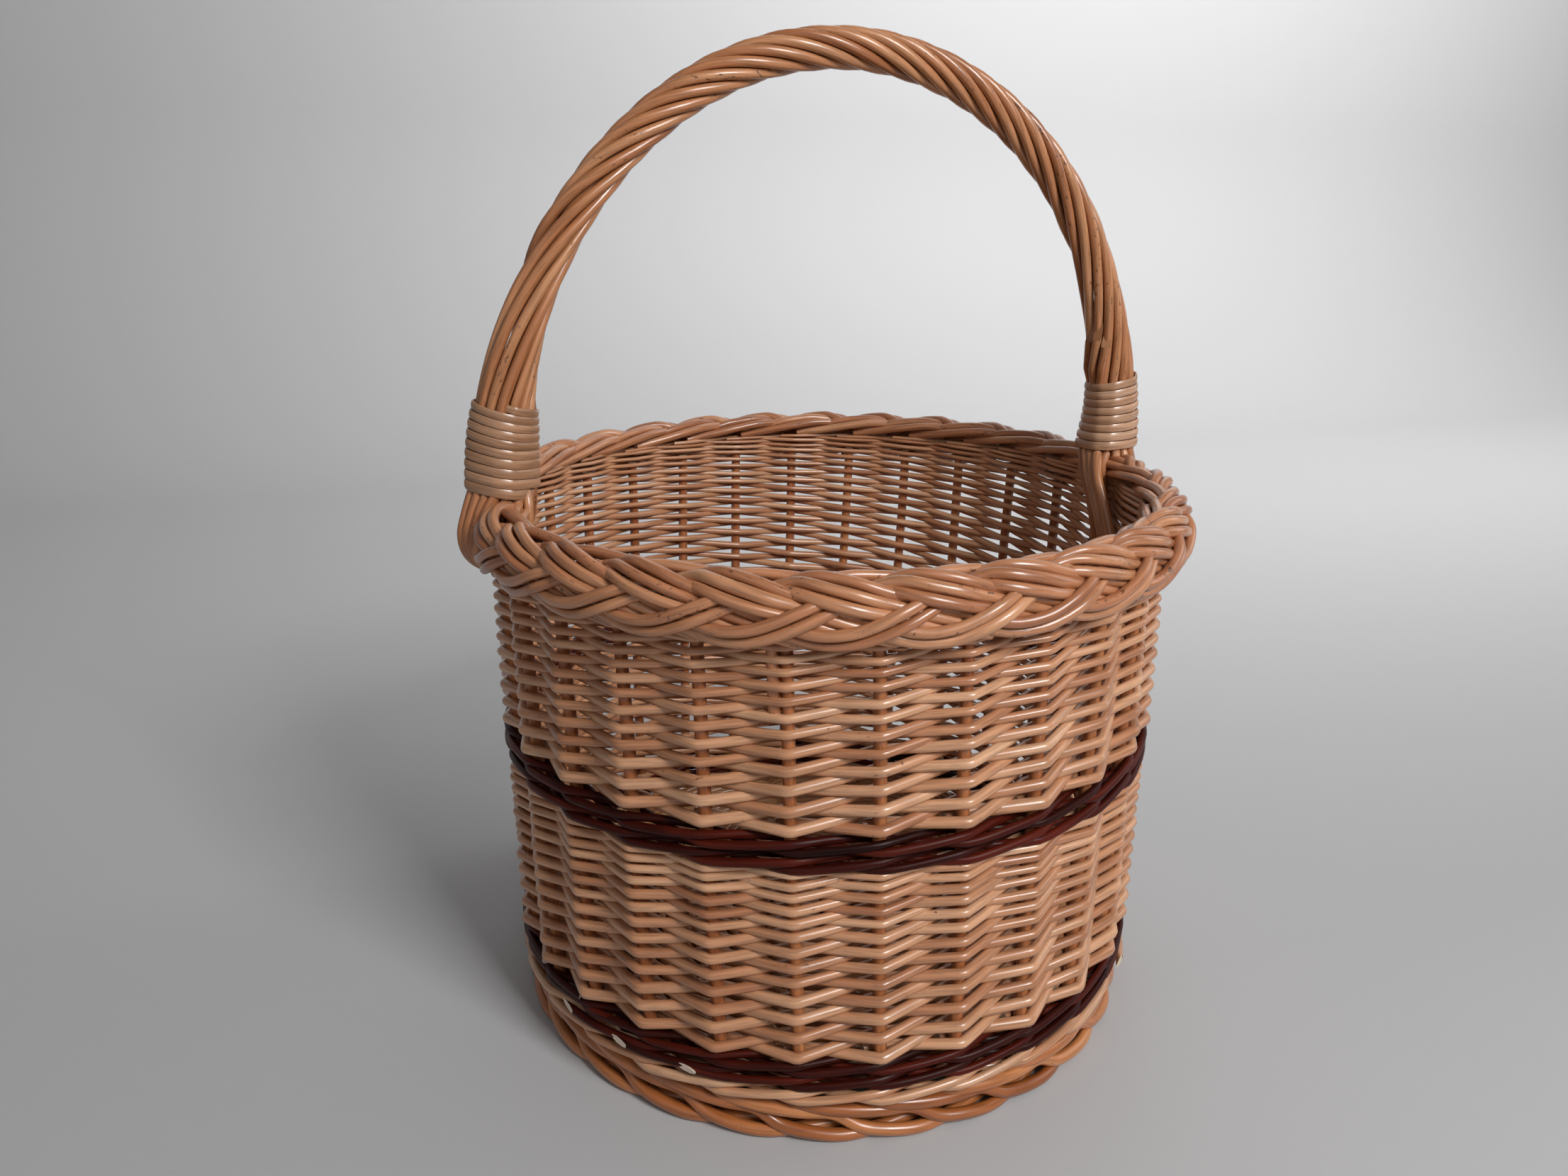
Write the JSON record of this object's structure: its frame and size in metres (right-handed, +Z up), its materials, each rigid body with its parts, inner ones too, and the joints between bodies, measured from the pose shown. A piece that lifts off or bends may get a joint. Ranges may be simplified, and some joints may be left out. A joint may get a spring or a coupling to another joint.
{
  "type": "round wicker shopping basket",
  "caption": "Round straight-sided willow shopping basket with dark bands, a plaited rim and a fixed roped handle bound at both feet.",
  "frame": {"origin": "on the floor under the middle of the basket", "axes": "+Z up; the handle's arch stands in the XZ plane, with its feet at -X and +X"},
  "size_m": [0.3368, 0.3262, 0.4299],
  "materials": {
    "buff_willow": "satin, lightly varnished",
    "base_willow": "satin, lightly varnished",
    "stake_willow": "satin, lightly varnished",
    "dark_willow": "satin, lightly varnished",
    "foot_willow": "satin, lightly varnished",
    "border_willow": "satin, lightly varnished",
    "handle_willow": "satin, lightly varnished",
    "binding_skein": "satin, lightly varnished"
  },
  "bodies": {
    "root": {"lower_siding": "buff_willow", "upper_siding": "buff_willow", "upsett_wale": "buff_willow", "base_weave": "base_willow", "base_stick_1": "base_willow", "base_stick_2": "base_willow", "base_stick_3": "base_willow", "base_stick_4": "base_willow", "base_stick_5": "base_willow", "base_stick_6": "base_willow", "base_stick_7": "base_willow", "stake_01": "stake_willow", "stake_02": "stake_willow", "stake_03": "stake_willow", "stake_04": "stake_willow", "stake_05": "stake_willow", "stake_06": "stake_willow", "stake_07": "stake_willow", "stake_08": "stake_willow", "stake_09": "stake_willow", "stake_10": "stake_willow", "stake_11": "stake_willow", "stake_12": "stake_willow", "stake_13": "stake_willow", "stake_14": "stake_willow", "stake_15": "stake_willow", "stake_16": "stake_willow", "stake_17": "stake_willow", "stake_18": "stake_willow", "stake_19": "stake_willow", "stake_20": "stake_willow", "stake_21": "stake_willow", "stake_22": "stake_willow", "stake_23": "stake_willow", "stake_24": "stake_willow", "stake_25": "stake_willow", "stake_26": "stake_willow", "stake_27": "stake_willow", "stake_28": "stake_willow", "lower_wale": "dark_willow", "middle_wale": "dark_willow", "foot_border": "foot_willow", "rim_border": "border_willow", "handle_bow": "handle_willow", "handle_rod_1": "handle_willow", "handle_rod_2": "handle_willow", "handle_rod_3": "handle_willow", "handle_rod_4": "handle_willow", "handle_rod_5": "handle_willow", "handle_rod_6": "handle_willow", "handle_rod_7": "handle_willow", "handle_rod_8": "handle_willow", "binding_left": "binding_skein", "binding_right": "binding_skein"}
  },
  "joints": []
}
